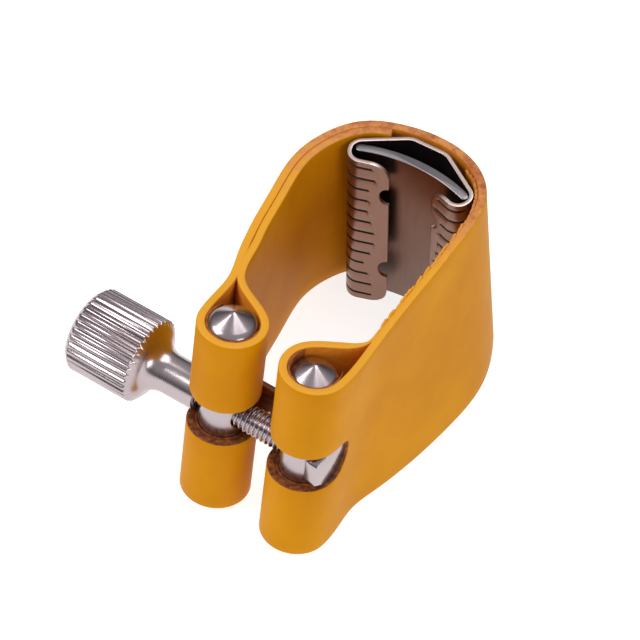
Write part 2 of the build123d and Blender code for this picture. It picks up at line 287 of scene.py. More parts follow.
def ruled(low_points, high_points, step, levels):
    """Grid of points between two lines, with columns step apart and rows at levels."""
    knots = lengths((low_points + high_points) / 2)
    at = np.linspace(0, knots[-1], int(knots[-1] / step) + 1)
    low_line = smooth_line(low_points, knots, at)
    high_line = smooth_line(high_points, knots, at)
    levels = np.asarray(levels, float)
    levels = levels[:, :, None] if levels.ndim == 2 else levels[None, :, None]
    return low_line[:, None] * (1 - levels) + high_line[:, None] * levels, at


def side_way(grid):
    """Unit vector out of each point of a grid, on the outer side of the sheet."""
    along = np.gradient(grid, axis=0)
    up = np.gradient(grid, axis=1)
    out = np.cross(up, along)
    return out / np.linalg.norm(out, axis=2)[:, :, None]


def new_piece(name, points, faces, materials, kinds=None):
    """A mesh object from points in millimetres; kinds gives each face's material."""
    mesh = bpy.data.meshes.new(name)
    mesh.from_pydata((np.asarray(points, float) * MM).tolist(), [], faces)
    for material in materials:
        mesh.materials.append(material)
    if kinds is not None:
        mesh.polygons.foreach_set("material_index", kinds)
    mesh.update()
    piece = bpy.data.objects.new(name, mesh)
    bpy.context.scene.collection.objects.link(piece)
    return piece


def finished(piece, edge=0.0, angle=40):
    """Rounds edges sharper than angle by edge millimetres and keeps the result as the mesh."""
    if edge:
        bevel = piece.modifiers.new("edge", "BEVEL")
        bevel.width = edge * MM
        bevel.segments = 2
        bevel.limit_method = "ANGLE"
        bevel.angle_limit = radians(angle)
        bevel.use_clamp_overlap = True
        bevel.miter_outer = "MITER_ARC"
    bpy.context.view_layer.update()
    depsgraph = bpy.context.evaluated_depsgraph_get()
    mesh = bpy.data.meshes.new_from_object(piece.evaluated_get(depsgraph))
    old = piece.data
    piece.modifiers.clear()
    piece.data = mesh
    bpy.data.meshes.remove(old)
    mesh.name = piece.name
    mesh.shade_smooth()
    mesh.set_sharp_from_angle(angle=radians(50))


def sheet_mesh(outer, inner, there=None, marks=None):
    """Points, faces and face kinds of a solid sheet between two grids of points.

    Cells that aren't there are holes. Kinds: 0 outer face, 1 inner face, 2 cut edge,
    3 cut edge of a hole, 4 a marked cell of the outer face."""
    columns, rows = outer.shape[:2]
    if there is None:
        there = np.ones((columns - 1, rows - 1), bool)
    if marks is None:
        marks = np.zeros((columns - 1, rows - 1), bool)
    points = np.concatenate((outer.reshape(-1, 3), inner.reshape(-1, 3)))
    count = columns * rows
    faces, kinds = [], []
    for i, j in np.argwhere(there):
        a, b = int(i * rows + j), int((i + 1) * rows + j)
        faces += [(a, b, b + 1, a + 1), (a + count, a + 1 + count, b + 1 + count, b + count)]
        kinds += [4 if marks[i, j] else 0, 1]
        sides = (
            (i, j - 1, b, a),
            (i + 1, j, b + 1, b),
            (i, j + 1, a + 1, b + 1),
            (i - 1, j, a, a + 1),
        )
        for near_i, near_j, start, end in sides:
            within = 0 <= near_i < columns - 1 and 0 <= near_j < rows - 1
            if not within or not there[near_i, near_j]:
                faces.append((start, end, end + count, start + count))
                kinds.append(3 if within else 2)
    used = sorted({v for face in faces for v in face})
    place = {v: k for k, v in enumerate(used)}
    return points[used], [tuple(place[v] for v in face) for face in faces], kinds


def new_material(name, colour, roughness, metallic=0.0):
    """A material with its shader's plain values set; nodes are added after."""
    material = bpy.data.materials.new(name)
    material.use_nodes = True
    tree = material.node_tree
    shader = tree.nodes["Principled BSDF"]
    shader.inputs["Base Color"].default_value = linear(colour)
    shader.inputs["Roughness"].default_value = roughness
    shader.inputs["Metallic"].default_value = metallic
    return material, tree, shader


def per_mm(size):
    """Noise scale whose features are about size millimetres."""
    return 1 / (size * MM)


# Coated leather: a dyed pigment coat over a fine pressed grain. The coat gives an even
# golden yellow with a satin sheen, and slow changes of tone where the hide stretched.
coat, tree, shader = new_material("pigment coated leather", "#E3A11F", 0.5)
shader.inputs["IOR"].default_value = 1.15
place = add_node(tree, "ShaderNodeTexCoord")
tone = add_node(
    tree,
    "ShaderNodeTexNoise",
    {"Scale": per_mm(9), "Detail": 3.0, "Roughness": 0.55},
    {"Vector": place.outputs["Object"]},
)
tones = add_node(tree, "ShaderNodeValToRGB", links={"Fac": tone.outputs["Fac"]})
tones.color_ramp.elements[0].position = 0.3
tones.color_ramp.elements[0].color = linear("#C98100")
tones.color_ramp.elements[1].position = 0.7
tones.color_ramp.elements[1].color = linear("#D48F00")
tree.links.new(tones.outputs["Color"], shader.inputs["Base Color"])
pores = add_node(
    tree,
    "ShaderNodeTexVoronoi",
    {"Scale": per_mm(0.35), "feature": "SMOOTH_F1"},
    {"Vector": place.outputs["Object"]},
)
grain = add_node(
    tree,
    "ShaderNodeBump",
    {"Strength": 0.25, "Distance": 0.03 * MM},
    {"Height": pores.outputs["Distance"]},
)
tree.links.new(grain.outputs["Normal"], shader.inputs["Normal"])

# Flesh side: the split back of the same hide, dyed through but not coated. It is a
# darker orange brown with a short nap, and has no shine.
flesh, tree, shader = new_material("dyed suede back", "#C4700C", 0.82)
place = add_node(tree, "ShaderNodeTexCoord")
nap = add_node(
    tree,
    "ShaderNodeTexNoise",
    {"Scale": per_mm(0.6), "Detail": 6.0, "Roughness": 0.7},
    {"Vector": place.outputs["Object"]},
)
nap_tones = add_node(tree, "ShaderNodeValToRGB", links={"Fac": nap.outputs["Fac"]})
nap_tones.color_ramp.elements[0].position = 0.25
nap_tones.color_ramp.elements[0].color = linear("#C86E02")
nap_tones.color_ramp.elements[1].position = 0.75
nap_tones.color_ramp.elements[1].color = linear("#E38C04")
tree.links.new(nap_tones.outputs["Color"], shader.inputs["Base Color"])
nap_bump = add_node(
    tree,
    "ShaderNodeBump",
    {"Strength": 0.6, "Distance": 0.05 * MM},
    {"Height": nap.outputs["Fac"]},
)
tree.links.new(nap_bump.outputs["Normal"], shader.inputs["Normal"])

# Painted edge: the strip's long edges, cut square and brushed with the same yellow.
# Towards the back the paint is thin and lets pinkish brown fibre and dark stains show.
edge_paint, tree, shader = new_material("painted leather edge", "#EBAE22", 0.6)
place = add_node(tree, "ShaderNodeTexCoord")
split = add_node(tree, "ShaderNodeSeparateXYZ", links={"Vector": place.outputs["Object"]})
worn = add_node(
    tree,
    "ShaderNodeMapRange",
    {"From Min": -5 * MM, "From Max": 14 * MM, "To Min": 0.1, "To Max": 0.8},
    {"Value": split.outputs["Y"]},
)
stain = add_node(
    tree,
    "ShaderNodeTexNoise",
    {"Scale": per_mm(1.1), "Detail": 5.0, "Roughness": 0.65},
    {"Vector": place.outputs["Object"]},
)
sparse = add_node(
    tree,
    "ShaderNodeMath",
    {"operation": "MULTIPLY"},
    {0: stain.outputs["Fac"], 1: worn.outputs["Result"]},
)
edge_tones = add_node(tree, "ShaderNodeValToRGB", links={"Fac": sparse.outputs["Value"]})
edge_tones.color_ramp.elements[0].position = 0.12
edge_tones.color_ramp.elements[0].color = linear("#DE9A0E")
edge_tones.color_ramp.elements[1].position = 0.5
edge_tones.color_ramp.elements[1].color = linear("#9C5226")
middle_tone = edge_tones.color_ramp.elements.new(0.3)
middle_tone.color = linear("#CE8640")
tree.links.new(edge_tones.outputs["Color"], shader.inputs["Base Color"])
fibre = add_node(
    tree,
    "ShaderNodeBump",
    {"Strength": 0.5, "Distance": 0.06 * MM},
    {"Height": stain.outputs["Fac"]},
)
tree.links.new(fibre.outputs["Normal"], shader.inputs["Normal"])

# Burnished edge: the cut edges inside the slots, left raw, darkened by rubbing.
raw_edge, tree, shader = new_material("burnished leather edge", "#6B3008", 0.55)
place = add_node(tree, "ShaderNodeTexCoord")
streak = add_node(
    tree,
    "ShaderNodeTexNoise",
    {"Scale": per_mm(0.5), "Detail": 4.0},
    {"Vector": place.outputs["Object"]},
)
streak_tones = add_node(tree, "ShaderNodeValToRGB", links={"Fac": streak.outputs["Fac"]})
streak_tones.color_ramp.elements[0].position = 0.35
streak_tones.color_ramp.elements[0].color = linear("#4E1E02")
streak_tones.color_ramp.elements[1].position = 0.7
streak_tones.color_ramp.elements[1].color = linear("#A55A18")
tree.links.new(streak_tones.outputs["Color"], shader.inputs["Base Color"])

slot_low = 0.5 - slot_half / (2 * rim_half)
slot_high = 0.5 + slot_half / (2 * rim_half)
low_rows, slot_rows = 9, 5
strap_levels = np.concatenate((
    np.linspace(0, slot_low, low_rows),
    np.linspace(slot_low, slot_high, slot_rows)[1:],
    np.linspace(slot_high, 1, low_rows)[1:],
))
lower_points = strip_points(0)
upper_points = strip_points(1)
knot_at = lengths((lower_points + upper_points) / 2)
left_neck_at = knot_at[len(left_flap_order)]
right_neck_at = knot_at[len(lower_points) - 1 - len(right_flap_order)]

# The slots narrow to a point behind each post. Their two edge rows follow that shape,
# and the rows above and below share out what is left of the strip's height.
slot_low_row = low_rows - 1
slot_high_row = low_rows + slot_rows - 2
blunt_point = 0.004
strip, strip_at = ruled(lower_points, upper_points, column_step, strap_levels)
slot_row = strip[:, (slot_low_row + slot_high_row) // 2]
to_slot_end = slot_back - (slot_row - (0, clamp_y, clamp_z)) @ across_lean
narrowing = np.clip(1 - to_slot_end / slot_half, 0, 1)
slot_scale = np.sqrt(np.maximum(1 - narrowing**2, blunt_point))
slot_middle = 0.5 + point_rise / (2 * rim_half) * narrowing**2
levels = np.repeat(strap_levels[None], len(strip_at), axis=0)
slot_span = slice(slot_low_row, slot_high_row + 1)
levels[:, slot_span] = slot_middle[:, None] + (levels[:, slot_span] - 0.5) * slot_scale[:, None]
levels[:, :low_rows] = levels[:, [slot_low_row]] * (strap_levels[:low_rows] / slot_low)

# The right flap's upper edge is pared by hand from 1 mm past the neck. Three waves that
# never fall in step make it wander and give it chips.
slow_wave = 0.3 * np.sin(2.3 * strip_at + 2 * np.sin(0.8 * strip_at))
chips = 0.5 + slow_wave + 0.2 * np.sin(7.1 * strip_at)
pared = np.clip((strip_at - right_neck_at - 1) / 2, 0, 1) * chip_depth * chips / (2 * rim_half)
above_slot = slice(slot_high_row + 1, None)
high_share = (1 - strap_levels[above_slot]) / (1 - slot_high)
slot_top = levels[:, [slot_high_row]]
levels[:, above_slot] = 1 - pared[:, None] - (1 - pared[:, None] - slot_top) * high_share
strip, strip_at = ruled(lower_points, upper_points, column_step, levels)
strip[:, :, 2] = np.maximum(strip[:, :, 2], 0.0)
strip_out = side_way(strip)
strap_cells = np.ones((len(strip_at) - 1, len(strap_levels) - 1), bool)
in_slot = (to_slot_end[:-1] > 0) & (to_slot_end[1:] > 0)
strap_cells[in_slot, slot_low_row:slot_high_row] = False

# The strip is whole in the middle, and skived thinner over these lengths at its flaps.
left_skive = 4
right_skive = 3
strip_thick = np.interp(
    strip_at,
    [left_neck_at, left_neck_at + left_skive, right_neck_at - right_skive, right_neck_at],
    [left_flap, leather, leather, right_flap],
)
half_thick = strip_out * strip_thick[:, None, None] / 2
points, faces, kinds = sheet_mesh(strip + half_thick, strip - half_thick, strap_cells)
strap = new_piece("strap", points, faces, (coat, flesh, edge_paint, raw_edge), kinds)
finished(strap, edge=0.16)
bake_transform(strap, "root", "left_side", start=(0, 0.014, 0), end=(0, -0.014, 0))
weights = strap.data.attributes["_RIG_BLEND"].data
# the right loop stays with the root, although it lies as far forward as the left one
for vertex, weight in zip(strap.data.vertices, weights):
    if vertex.co.x > post_mid_x * MM:
        weight.value = 0.0
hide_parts("strap_right", "strap_left_wall", "strap_left_loop")

# ---- loop linings ----
# A thin strip of brown leather round the front of each post, inside the loop, so that
# the post can turn without wearing the strap. It is cut away where the bolt passes,
# and its ends are skived, so they thin out against the loop.
lining_end = 35  # degrees past the post's sides
lining_inset = 0.15
lining_steps = 61
skive_steps = 8
skive_least = 0.08
lining_out_r = loop_in_r - loop_fit
lining_leather, tree, shader = new_material("oiled brown leather", "#8A3F0E", 0.5)
place = add_node(tree, "ShaderNodeTexCoord")
oil = add_node(
    tree,
    "ShaderNodeTexNoise",
    {"Scale": per_mm(0.8), "Detail": 5.0},
    {"Vector": place.outputs["Object"]},
)
oil_tones = add_node(tree, "ShaderNodeValToRGB", links={"Fac": oil.outputs["Fac"]})
oil_tones.color_ramp.elements[0].position = 0.3
oil_tones.color_ramp.elements[0].color = linear("#6E2C06")
oil_tones.color_ramp.elements[1].position = 0.7
oil_tones.color_ramp.elements[1].color = linear("#B0611F")
tree.links.new(oil_tones.outputs["Color"], shader.inputs["Base Color"])
lining_turns = np.linspace(radians(lining_end), radians(-180 - lining_end), lining_steps)
lining_half = rim_half - lining_inset
lining_t = np.concatenate((
    np.linspace(-lining_half, -slot_half, 7),
    np.linspace(-slot_half, slot_half, 3)[1:],
    np.linspace(slot_half, lining_half, 7)[1:],
))


def round_lining(side, radii):
    """Grid of points round a post, over the lining's span, with a radius for each turn."""
    return np.array([
        [post_point(side, r * cos(a), r * sin(a), t) for t in lining_t]
        for r, a in zip(radii, lining_turns)
    ])


def no_slot(grid):
    """Which cells of a grid beside the posts are clear of the slot for the bolt."""
    middles = (grid[:-1, :-1] + grid[1:, :-1] + grid[:-1, 1:] + grid[1:, 1:]) / 4
    from_bolt = middles - np.array((0, clamp_y, clamp_z))
    behind, up_post = from_bolt @ across_lean, from_bolt @ up_lean
    return ~((behind < slot_back) & (np.abs(up_post) < slot_half))


from_start = np.arange(lining_steps)
end_share = np.minimum(from_start, from_start[::-1]) / skive_steps
skived = lining * np.clip(end_share, skive_least, 1)
lining_skins = (lining_leather, lining_leather, lining_leather, raw_edge)
for side, name, body in ((-1, "left_loop_lining", "left_side"), (1, "right_loop_lining", "root")):
    outside_r = np.full(lining_steps, lining_out_r)
    outside = round_lining(side, outside_r)
    within = round_lining(side, outside_r - skived)
    points, faces, kinds = sheet_mesh(outside, within, no_slot(outside))
    piece = new_piece(name + "_strip", points, faces, lining_skins, kinds)
    finished(piece, edge=0.05)
    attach(piece, body)
    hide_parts(name)

# ---- posts ----
# Two brass pins turned to a low cone at each end and nickel plated. Each is cross
# drilled for the bolt, and the right one has a flat milled for the bolt's head.
dome_height = 1.3
post_edge = 0.45
post_rise = {-1: 1.6, 1: 0.5}  # each post's upper tip above the loops
thread_r = 1.75
thread_play = 0.05
head_flats = 5.5
head_seat = 1.85
head_clear = 0.1
bolt_hole_r = thread_r + thread_play


def spun(along, radii, centre, axis, side):
    """Points and faces of a closed body round an axis: radii[k] at along[k], turn by turn."""
    radii = np.asarray(radii, float)
    along = np.broadcast_to(np.asarray(along, float).reshape(len(radii), -1), radii.shape)
    rings, steps = radii.shape
    axis, side = np.asarray(axis, float), np.asarray(side, float)
    third = np.cross(axis, side)
    turn = np.linspace(0, 2 * pi, steps, endpoint=False)
    round_way = np.cos(turn)[:, None] * side + np.sin(turn)[:, None] * third
    points = centre + along[:, :, None] * axis + radii[:, :, None] * round_way
    ends = [centre + axis * along[0].mean(), centre + axis * along[-1].mean()]
    points = np.concatenate((points.reshape(-1, 3), ends))
    faces = []
    for k in range(steps):
        n = (k + 1) % steps
        faces.append((rings * steps, n, k))
        for ring in range(rings - 1):
            a, b = ring * steps, (ring + 1) * steps
            faces.append((a + k, a + n, b + n, b + k))
        last = (rings - 1) * steps
        faces.append((rings * steps + 1, last + k, last + n))
    return points, faces


def cut_away(piece, cutter):
    """Cuts one piece's shape out of another and drops the cutter."""
    cut = piece.modifiers.new("cut", "BOOLEAN")
    cut.operation = "DIFFERENCE"
    cut.solver = "EXACT"
    cut.object = cutter
    finished(piece)
    bpy.data.objects.remove(cutter)


# Nickel plate: a thin bright electroplate over turned brass. It mirrors the room in a
# slightly warm grey, and the turning marks under it break the reflection up finely.
nickel, tree, shader = new_material("bright nickel plate", "#B3A7AA", 0.2, metallic=1.0)
place = add_node(tree, "ShaderNodeTexCoord")
haze = add_node(
    tree,
    "ShaderNodeTexNoise",
    {"Scale": per_mm(1.5), "Detail": 6.0},
    {"Vector": place.outputs["Object"]},
)
haze_range = add_node(
    tree,
    "ShaderNodeMapRange",
    {"To Min": 0.16, "To Max": 0.3},
    {"Value": haze.outputs["Fac"]},
)
tree.links.new(haze_range.outputs["Result"], shader.inputs["Roughness"])
dents = add_node(
    tree,
    "ShaderNodeBump",
    {"Strength": 0.03, "Distance": 0.005 * MM},
    {"Height": haze.outputs["Fac"]},
)
tree.links.new(dents.outputs["Normal"], shader.inputs["Normal"])

end_profile = [  # down from the tip and out from the axis: a cone, then a rounded shoulder
    (0.03, 0.12),
    (0.2, 0.45),
    (dome_height - 0.06, post_r - post_edge - 0.12),
    (dome_height + 0.06, post_r - post_edge + 0.08),
    (dome_height + post_edge - 0.1, post_r - 0.06),
    (dome_height + post_edge, post_r),
]
for side, name, body in ((-1, "left_post", "left_side"), (1, "right_post", "root")):
    centre = post_point(side, 0, 0, 0)
    tip = rim_half + post_rise[side]
    post_profile = [(drop - rim_half, r) for drop, r in end_profile]
    post_profile += [(tip - drop, r) for drop, r in end_profile[::-1]]
    post_radii = np.repeat([[r] for t, r in post_profile], 96, axis=1)
    points, faces = spun([t for t, r in post_profile], post_radii, centre, up_lean, (1, 0, 0))
    piece = new_piece(name + "_pin", points, faces, (nickel,))
    hole_points, hole_faces = spun(
        (-2 * post_r, 2 * post_r), np.full((2, 48), bolt_hole_r), centre, (1, 0, 0), across_lean
    )
    cut_away(piece, new_piece("drill", hole_points, hole_faces, ()))
    if side == 1:
        flat_half = head_flats / cos(radians(30)) / 2 + head_clear
        wide = 2 * post_r
        block = [
            centre + np.array((x, 0, 0)) + across_lean * y + up_lean * t
            for x in (head_seat, wide)
            for y, t in ((-wide, -flat_half), (wide, -flat_half), (wide, flat_half), (-wide, flat_half))
        ]
        block_faces = [(0, 3, 2, 1), (4, 5, 6, 7)]
        block_faces += [(k, (k + 1) % 4, (k + 1) % 4 + 4, k + 4) for k in range(4)]
        cut_away(piece, new_piece("mill", block, block_faces, ()))
    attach(piece, body)
    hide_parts(name)

# ---- bolt ----
# A plated steel machine bolt, rolled thread along its whole shank, with a plain
# hexagon head that seats on the right post's flat.
thread_depth = 0.34
pitch = 0.6
crest_lift = 1.35
flank_slope = 3.2
tip_chamfer = 0.45
head_thick = 1.8
head_edge = 0.08
corner_edge = 0.05
seat_gap = 0.08
neck_length = 7.6
knob_length = 8.6
bore_end = 2.2
tip_room = 3.0
bolt_steps = 48
rows_per_turn = 10
left_seat_x = post_mid_x - post_pitch / 2 - post_r - seat_gap
knob_outer_x = left_seat_x - neck_length - knob_length
bore_end_x = knob_outer_x + bore_end
bolt_tip_x = bore_end_x + tip_room
head_x = post_mid_x + post_pitch / 2 + head_seat
bolt_turn = np.linspace(0, 2 * pi, bolt_steps, endpoint=False)
thread_x = np.arange(bolt_tip_x, head_x, pitch / rows_per_turn)
phase = (thread_x[:, None] / pitch + bolt_turn / (2 * pi)) % 1
crest = np.clip(crest_lift - flank_slope * np.abs(phase - 0.5), 0, 1)
thread_radii = thread_r - thread_depth * (1 - crest)
thread_radii = np.minimum(thread_radii, thread_r - tip_chamfer + (thread_x - bolt_tip_x)[:, None])
hexagon = head_flats / 2 / np.cos((bolt_turn + pi / 6) % (pi / 3) - pi / 6)
face_r = head_flats / 2 * 0.95
corner_cut = np.maximum(hexagon - face_r, 0) * tan(radians(30))
head_rows = [
    (np.full(bolt_steps, head_x), np.minimum(hexagon, thread_r - thread_depth)),
    (np.full(bolt_steps, head_x), hexagon - head_edge),
    (np.full(bolt_steps, head_x + head_edge), hexagon),
    (head_x + head_thick - corner_cut - corner_edge, hexagon),
    (head_x + head_thick - corner_cut, hexagon - corner_edge),
    (np.full(bolt_steps, head_x + head_thick), np.minimum(hexagon, face_r)),
]
thread_along = np.repeat(thread_x[:, None], bolt_steps, axis=1)
bolt_along = np.concatenate((thread_along, [along for along, r in head_rows]))
bolt_radii = np.concatenate((thread_radii, [r for along, r in head_rows]))
bolt_axis_at = np.array((0, clamp_y, clamp_z))
points, faces = spun(bolt_along, bolt_radii, bolt_axis_at, (1, 0, 0), across_lean)
bolt = new_piece("hex_head_bolt", points, faces, (nickel,))
finished(bolt)
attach(bolt, "root")
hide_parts("clamp_bolt")

# ---- thumb nut ----
# A long brass nut with a straight knurled head, turned from one bar and nickel
# plated. Its blind bore runs along the bolt, and its nose bears on the left post.
knob_r = 5.2
knob_edge = 0.8
neck_r = 2.4
nose_edge = 0.2
nose_edge_length = 0.12
ribs = 36
rib_depth = 0.3
rib_points = 10
groove_sharp = 1.5
flare_profile = [  # from the knob's inner face, and out from the axis
    (3.24, neck_r + 0.02),
    (2.6, neck_r + 0.1),
    (2.03, 2.7),
    (1.55, 3.0),
    (1.15, 3.4),
    (0.9, 3.82),
    (0.7, 4.25),
    (0.25, knob_r - rib_depth),
]
knob_inner_x = knob_outer_x + knob_length
rib_turn = 2 * pi * np.arange(ribs * rib_points) / rib_points
rib_radii = knob_r - rib_depth * (0.5 - 0.5 * np.cos(rib_turn)) ** groove_sharp
smooth_ring = np.ones(len(rib_radii))
nut_rows = [
    (bore_end_x, smooth_ring * bolt_hole_r),
    (left_seat_x, smooth_ring * bolt_hole_r),
    (left_seat_x, smooth_ring * (neck_r - nose_edge)),
    (left_seat_x - nose_edge_length, smooth_ring * neck_r),
    *[(knob_inner_x + x, smooth_ring * r) for x, r in flare_profile],
    (knob_inner_x + 0.05, np.minimum(rib_radii, knob_r - 0.06)),
    (knob_inner_x, rib_radii),
    (knob_outer_x + knob_edge, rib_radii),
    (knob_outer_x + 0.55 * knob_edge, np.minimum(rib_radii, knob_r - 0.45 * knob_edge)),
    (knob_outer_x + 0.1 * knob_edge, smooth_ring * (knob_r - 0.9 * knob_edge)),
    (knob_outer_x, smooth_ring * (knob_r - 1.1 * knob_edge)),
]
points, faces = spun(
    [along for along, r in nut_rows],
    [r for along, r in nut_rows],
    bolt_axis_at,
    (1, 0, 0),
    (0, 1, 0),
)
faces = [face[::-1] for face in faces]  # its outer rows run against the axis
nut = new_piece("knurled_thumb_nut", points, faces, (nickel,))
finished(nut)
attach(nut, "thumb_nut")
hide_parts("thumb_nut")

# ---- guard ----
# A tongue of dark brown leather, glued to the left loop behind the bolt. It keeps
# the thread off the mouthpiece. Its lighter streaks along the bolt are painted highlights.
guard_thick = 0.7
guard_half = 2.6
guard_y = 2.95
guard_clear = 0.33
guard_seat = 0.03
loop_r = loop_in_r + leather
clamp_travel = 2.4


def bar(outline, place, low, high):
    """Points and faces of a straight bar: a closed outline run from low to high."""
    steps = len(outline)
    points = [place(x, y, t) for t in (low, high) for x, y in outline]
    faces = [tuple(range(steps))[::-1], tuple(range(steps, 2 * steps))]
    for k in range(steps):
        n = (k + 1) % steps
        faces.append((k, n, n + steps, k + steps))
    return points, faces


# Dark brown leather. Its lighter streaks, stretched along the bolt, are painted highlights.
stained, tree, shader = new_material("dark leather with painted highlight streaks", "#6A2E08", 0.42)
place = add_node(tree, "ShaderNodeTexCoord")
streak_stretch = add_node(
    tree,
    "ShaderNodeMapping",
    {"Scale": (0.15, 1.0, 1.0)},
    {"Vector": place.outputs["Object"]},
)
streak_noise = add_node(
    tree,
    "ShaderNodeTexNoise",
    {"Scale": per_mm(0.5), "Detail": 4.0},
    {"Vector": streak_stretch.outputs["Vector"]},
)
highlight_streak_tones = add_node(tree, "ShaderNodeValToRGB", links={"Fac": streak_noise.outputs["Fac"]})
highlight_streak_tones.color_ramp.elements[0].position = 0.35
highlight_streak_tones.color_ramp.elements[0].color = linear("#4A1A02")
highlight_streak_tones.color_ramp.elements[1].position = 0.65
highlight_streak_tones.color_ramp.elements[1].color = linear("#96480F")
tree.links.new(highlight_streak_tones.outputs["Color"], shader.inputs["Base Color"])
seat_r = loop_r + guard_seat
seat_heights = np.linspace(guard_y + guard_thick, guard_y, 5)
loop_side = [(sqrt(seat_r**2 - y**2), y) for y in seat_heights]
guard_end = post_pitch - sqrt(loop_r**2 - guard_y**2) - clamp_travel - guard_clear
guard_outline = loop_side + [(guard_end, guard_y), (guard_end, guard_y + guard_thick)]
points, faces = bar(
    guard_outline, lambda x, y, t: post_point(-1, x, y, t), -guard_half, guard_half
)
guard = new_piece("guard_tongue", points, faces, (stained,))
finished(guard, edge=0.15)
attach(guard, "left_side")
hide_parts("bolt_guard")

# ---- holder ----
# Spring brass sheet, pressed and plated. Its back is flat where the rivets hold it,
# and its two sides curl into channels. Each lip has a scale of engraved ticks, two
# half-round notches and round corners.
holder_x = 0.25
holder_turn = radians(3.6)
holder_lift = 0.55
holder_top = 0.15
sheet = 0.45
holder_gap = 0.65
flat_half_width = 2.3
shoulder = (8.1, 3.75)
channel = (7.25, 6.35)
lip_reach_left = 4.95
lip_reach_right = 4.0
lip_rise = 1.4
bend_r = 1.45
shoulder_r = 2.0
arc_step = 0.25
holder_length = strap_height - holder_lift - holder_top
holder_back = leather + holder_gap + sheet / 2
holder_tilt = atan(flare_back / strap_height)
holder_up = np.array((0, -sin(holder_tilt), cos(holder_tilt)))
holder_in = np.array((0, cos(holder_tilt), sin(holder_tilt)))
holder_right = np.array((cos(holder_turn), 0, 0)) + sin(holder_turn) * holder_in
holder_in = cos(holder_turn) * holder_in - np.array((sin(holder_turn), 0, 0))
holder_at = np.array((holder_x, back_y + flare_back - holder_back, holder_lift))


def holder_point(x, y, t):
    """Point in the holder's own frame: x to the right, y to the back, t up it."""
    return holder_at + holder_right * x + holder_in * y + holder_up * t


def bent_line(corners, radii):
    """Points along straight runs joined by tangent arcs, arc_step apart on the arcs."""
    corners = [np.array(c, float) for c in corners]
    line = [corners[0]]
    for before, corner, after, r in zip(corners, corners[1:], corners[2:], radii):
        back_way = (before - corner) / np.linalg.norm(before - corner)
        on_way = (after - corner) / np.linalg.norm(after - corner)
        half = acos(np.clip(back_way @ on_way, -1, 1)) / 2
        bisector = (back_way + on_way) / np.linalg.norm(back_way + on_way)
        centre = corner + bisector * r / sin(half)
        start, end = corner + back_way * r / tan(half), corner + on_way * r / tan(half)
        count = max(3, int((pi - 2 * half) * r / arc_step) + 1)
        first = atan2(*(start - centre)[::-1])
        sweep = (atan2(*(end - centre)[::-1]) - first + pi) % (2 * pi) - pi
        turns = [first + sweep * k / count for k in range(count + 1)]
        line += [centre + r * np.array((cos(a), sin(a))) for a in turns]
    return np.array(line + [corners[-1]])


left_lip = -shoulder[0] + bend_r / 2 + lip_reach_left
right_lip = shoulder[0] - bend_r / 2 - lip_reach_right
lip_y = lip_rise - channel[1]
holder_line = bent_line(
    [
        (left_lip, lip_y),
        (-channel[0], -channel[1]),
        (-shoulder[0], -shoulder[1]),
        (-flat_half_width, 0),
        (flat_half_width, 0),
        (shoulder[0], -shoulder[1]),
        (channel[0], -channel[1]),
        (right_lip, lip_y),
    ],
    (bend_r, bend_r, shoulder_r, shoulder_r, bend_r, bend_r),
)
line_at = lengths(holder_line)
left_straight, right_straight = line_at[1], line_at[-1] - line_at[-2]

notch_deep = 1.15
notch_half = 1.5
notch_t = (6.6, 20.4)
top_corner_r = 2.3
low_corner_r = 2.2
tick_count = 13
tick_first = 1.1
tick_step = 1.99
tick_half = 0.15
tick_wall = 0.04
tick_depth = 0.09
tick_start = 2.3  # on the lip, from its bend
tick_reach = 1.65  # round the bend, longer and shorter by turns
tick_change = 0.4
tick_wave = 1.15
row_gap = 0.012  # rows nearer than this are one row
ticks = [tick_first + k * tick_step for k in range(tick_count)]
tick_edges = (-tick_half - tick_wall, -tick_half, tick_half, tick_half + tick_wall)
heights = {0.0, holder_length}
heights |= {t + d for t in ticks for d in tick_edges}
heights |= {t + notch_half * sin(radians(a)) for t in notch_t for a in range(-90, 91, 10)}
heights |= {holder_length - top_corner_r * (1 - sin(radians(a))) for a in range(0, 91, 10)}
heights |= {low_corner_r * (1 - sin(radians(a))) for a in range(0, 91, 15)}
heights = sorted(heights)
heights = [h for h, above in zip(heights, heights[1:] + [inf]) if above - h > row_gap]


def lip_cut(t):
    """How far a lip's free edge stands back at height t, for its corners and notches."""
    cut = 0.0
    for r, depth in ((top_corner_r, holder_length - t), (low_corner_r, t)):
        if depth < r:
            cut = r - sqrt(max(r**2 - (r - depth) ** 2, 0))
    for middle in notch_t:
        if abs(t - middle) < notch_half:
            cut = notch_deep * sqrt(1 - ((t - middle) / notch_half) ** 2)
    return cut


left_lip_columns = 18
right_lip_columns = 12
whole = line_at[-1]
right_start = whole - right_straight
columns_at = np.unique(np.concatenate((
    np.linspace(0, left_straight, left_lip_columns),
    line_at,
    np.linspace(right_start, whole, right_lip_columns),
)).round(5))
holder_grid = np.zeros((len(columns_at), len(heights), 3))
for j, t in enumerate(heights):
    cut = lip_cut(t)
    at = columns_at.copy()
    left_part, right_part = at < left_straight, at > right_start
    at[left_part] = cut + at[left_part] * (left_straight - cut) / left_straight
    from_end = (whole - at[right_part]) * (right_straight - cut) / right_straight
    at[right_part] = whole - cut - from_end
    x, y = np.interp(at, line_at, holder_line[:, 0]), np.interp(at, line_at, holder_line[:, 1])
    holder_grid[:, j] = [holder_point(px, py, t) for px, py in zip(x, y)]
holder_out = side_way(holder_grid)
outward = np.full(holder_grid.shape[:2], sheet / 2)
marks = np.zeros((len(columns_at) - 1, len(heights) - 1), bool)
